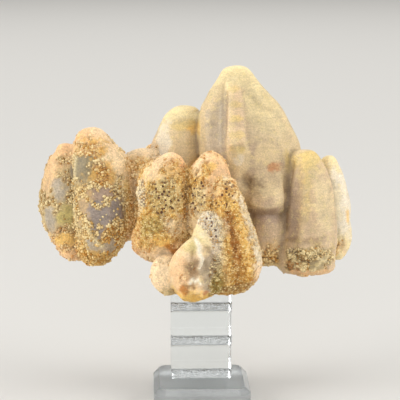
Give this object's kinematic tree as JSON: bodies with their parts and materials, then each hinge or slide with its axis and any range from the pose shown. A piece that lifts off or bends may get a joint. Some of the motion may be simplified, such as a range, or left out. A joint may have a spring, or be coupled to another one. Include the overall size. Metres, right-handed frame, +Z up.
{
  "type": "mineral specimen on display riser",
  "caption": "Cluster of steep, blunt smithsonite crystal points coated in fine druse, resting on a clear riser of stacked blocks with a bevelled base plate.",
  "frame": {"origin": "middle of the base plate's underside", "axes": "+Z up out of the base plate, +X to the viewer's right, -Y towards the viewer, who faces the cluster's show side"},
  "size_m": [0.1083, 0.0564, 0.1134],
  "materials": {
    "smithsonite": "waxy crystal faces under fine druse",
    "acrylic": "polished clear acrylic"
  },
  "bodies": {
    "root": {"smithsonite": "smithsonite", "block_top": "acrylic", "block_middle": "acrylic", "block_bottom": "acrylic", "base_plate": "acrylic"}
  },
  "joints": []
}
